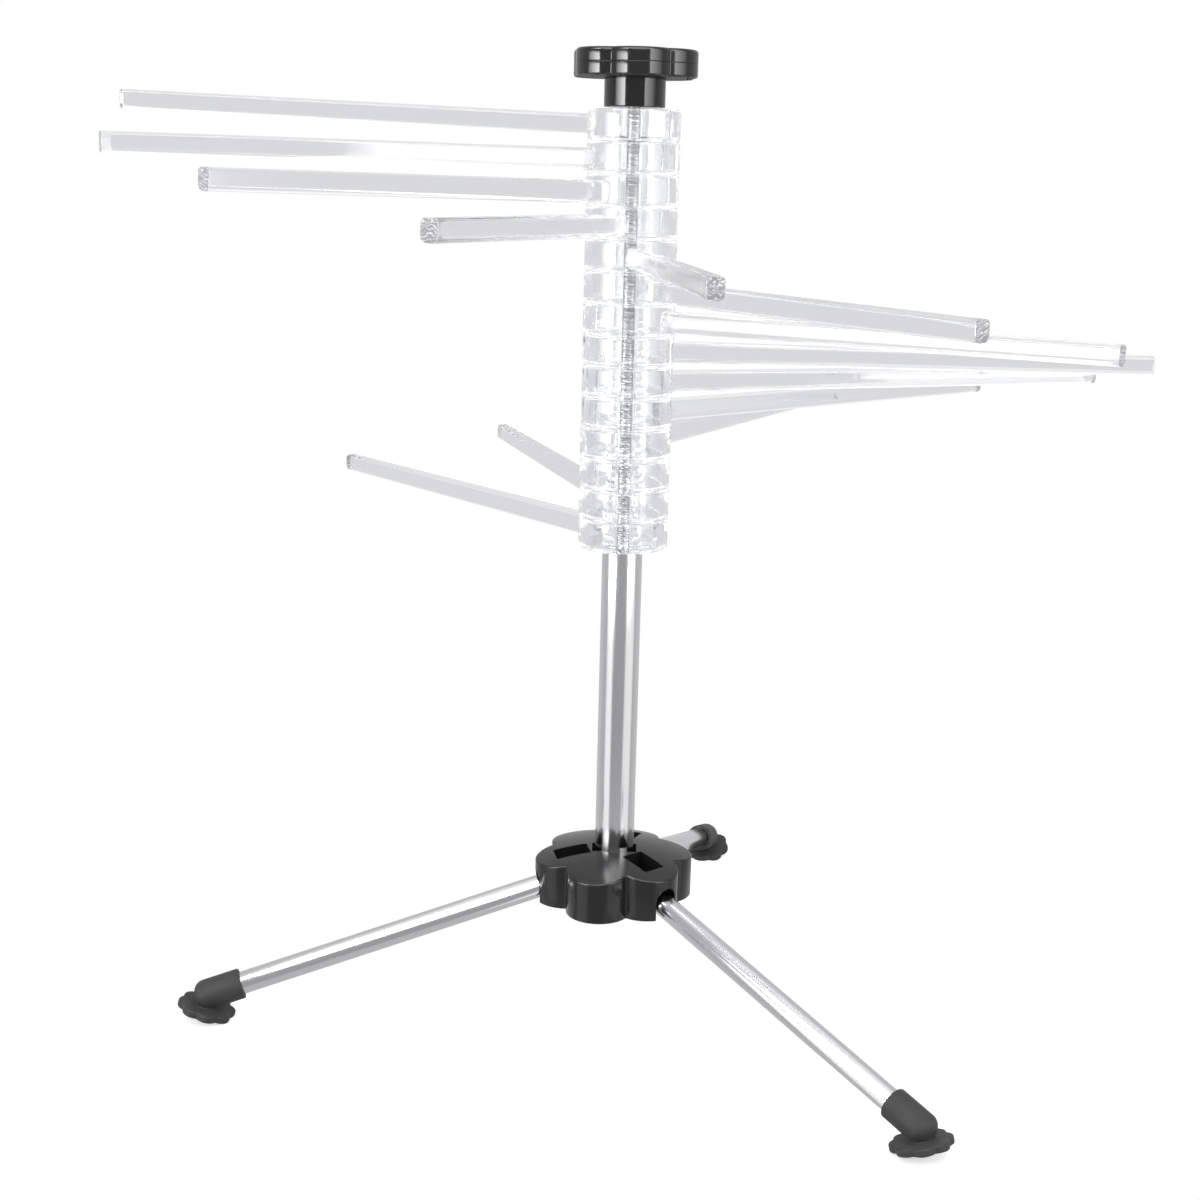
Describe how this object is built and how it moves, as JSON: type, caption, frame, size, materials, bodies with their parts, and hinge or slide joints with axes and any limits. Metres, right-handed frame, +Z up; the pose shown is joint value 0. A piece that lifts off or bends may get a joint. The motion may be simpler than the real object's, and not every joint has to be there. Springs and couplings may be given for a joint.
{
  "type": "pasta drying rack",
  "caption": "Pasta drying rack: clear arms that fan out in a spiral from rings stacked on a steel post, a clamping knob on top and a folding tripod stand.",
  "frame": {"origin": "on the floor under the axis of the post, at the middle of the three foot pads", "axes": "+Z up along the post, -Z towards the floor; the left leg and the folded-out top arms point mostly along -X, and the picture looks along +Y"},
  "size_m": [0.4651, 0.4658, 0.4525],
  "materials": {
    "black_gloss": "moulded, glossy",
    "black_matte": "moulded, satin",
    "stainless": "polished along its length",
    "zinc": "zinc plated",
    "brass": "turned",
    "grey_rubber": "matte",
    "clear_acrylic": "clear, with frosted arm ends"
  },
  "bodies": {
    "stand": {"hub_body": "black_gloss", "hub_base": "black_matte", "hub_screws": "zinc", "post_tube": "stainless", "post_plug": "stainless", "thin_nut": "zinc", "tie_rod": "zinc", "tie_nut": "zinc", "tie_washer": "zinc", "leg_pin_left": "zinc", "leg_pin_front": "zinc", "leg_pin_back": "zinc"},
    "left_leg": {"leg_tube_left": "stainless", "leg_eye_left": "black_matte", "foot_left": "grey_rubber"},
    "front_leg": {"leg_tube_front": "stainless", "leg_eye_front": "black_matte", "foot_front": "grey_rubber"},
    "back_leg": {"leg_tube_back": "stainless", "leg_eye_back": "black_matte", "foot_back": "grey_rubber"},
    "arm_01_body": {"arm_01": "clear_acrylic"},
    "arm_02_body": {"arm_02": "clear_acrylic"},
    "arm_03_body": {"arm_03": "clear_acrylic"},
    "arm_04_body": {"arm_04": "clear_acrylic"},
    "arm_05_body": {"arm_05": "clear_acrylic"},
    "arm_06_body": {"arm_06": "clear_acrylic"},
    "arm_07_body": {"arm_07": "clear_acrylic"},
    "arm_08_body": {"arm_08": "clear_acrylic"},
    "arm_09_body": {"arm_09": "clear_acrylic"},
    "arm_10_body": {"arm_10": "clear_acrylic"},
    "arm_11_body": {"arm_11": "clear_acrylic"},
    "arm_12_body": {"arm_12": "clear_acrylic"},
    "arm_13_body": {"arm_13": "clear_acrylic"},
    "arm_14_body": {"arm_14": "clear_acrylic"},
    "knob": {"knob_body": "black_gloss", "knob_cap": "black_gloss", "knob_insert": "brass"}
  },
  "joints": [
    {"name": "left_leg_fold", "type": "hinge", "parent": "stand", "child": "left_leg", "pos_m": [-0.02053, -0.00444, 0.06258], "axis": [0.2113, -0.9774, 0], "range_deg": [0, 73]},
    {"name": "front_leg_fold", "type": "hinge", "parent": "stand", "child": "front_leg", "pos_m": [0.01411, -0.01556, 0.06258], "axis": [0.7408, 0.6717, 0], "range_deg": [0, 73]},
    {"name": "back_leg_fold", "type": "hinge", "parent": "stand", "child": "back_leg", "pos_m": [0.00582, 0.02018, 0.06258], "axis": [-0.9608, 0.2773, 0], "range_deg": [0, 73]},
    {"name": "arm_14_turn", "type": "hinge", "parent": "stand", "child": "arm_14_body", "pos_m": [0, 0, 0.23446], "axis": [0, 0, 1], "continuous": true},
    {"name": "arm_13_turn", "type": "hinge", "parent": "arm_14_body", "child": "arm_13_body", "pos_m": [0, 0, 0.24872], "axis": [0, 0, 1], "range_deg": [-4.5, 23.5]},
    {"name": "arm_12_turn", "type": "hinge", "parent": "arm_13_body", "child": "arm_12_body", "pos_m": [0, 0, 0.26298], "axis": [0, 0, 1], "range_deg": [-4.5, 23.5]},
    {"name": "arm_11_turn", "type": "hinge", "parent": "arm_12_body", "child": "arm_11_body", "pos_m": [0, 0, 0.27724], "axis": [0, 0, 1], "range_deg": [-4, 24]},
    {"name": "arm_10_turn", "type": "hinge", "parent": "arm_11_body", "child": "arm_10_body", "pos_m": [0, 0, 0.2915], "axis": [0, 0, 1], "range_deg": [-4, 24]},
    {"name": "arm_09_turn", "type": "hinge", "parent": "arm_10_body", "child": "arm_09_body", "pos_m": [0, 0, 0.30576], "axis": [0, 0, 1], "range_deg": [-4.5, 23.5]},
    {"name": "arm_08_turn", "type": "hinge", "parent": "arm_09_body", "child": "arm_08_body", "pos_m": [0, 0, 0.32002], "axis": [0, 0, 1], "range_deg": [-5.5, 22.5]},
    {"name": "arm_07_turn", "type": "hinge", "parent": "arm_08_body", "child": "arm_07_body", "pos_m": [0, 0, 0.33428], "axis": [0, 0, 1], "range_deg": [-2, 26]},
    {"name": "arm_06_turn", "type": "hinge", "parent": "arm_07_body", "child": "arm_06_body", "pos_m": [0, 0, 0.34854], "axis": [0, 0, 1], "range_deg": [-5.5, 22.5]},
    {"name": "arm_05_turn", "type": "hinge", "parent": "arm_06_body", "child": "arm_05_body", "pos_m": [0, 0, 0.3628], "axis": [0, 0, 1], "range_deg": [-3, 25]},
    {"name": "arm_04_turn", "type": "hinge", "parent": "arm_05_body", "child": "arm_04_body", "pos_m": [0, 0, 0.37706], "axis": [0, 0, 1], "range_deg": [-4.25, 23.75]},
    {"name": "arm_03_turn", "type": "hinge", "parent": "arm_04_body", "child": "arm_03_body", "pos_m": [0, 0, 0.39132], "axis": [0, 0, 1], "range_deg": [-3.75, 24.25]},
    {"name": "arm_02_turn", "type": "hinge", "parent": "arm_03_body", "child": "arm_02_body", "pos_m": [0, 0, 0.40558], "axis": [0, 0, 1], "range_deg": [-3.5, 24.5]},
    {"name": "arm_01_turn", "type": "hinge", "parent": "arm_02_body", "child": "arm_01_body", "pos_m": [0, 0, 0.41984], "axis": [0, 0, 1], "range_deg": [-0.5, 27.5]},
    {"name": "knob_turn", "type": "hinge", "parent": "stand", "child": "knob", "pos_m": [0, 0, 0.42772], "axis": [0, 0, 1], "range_deg": [0, 360]}
  ]
}
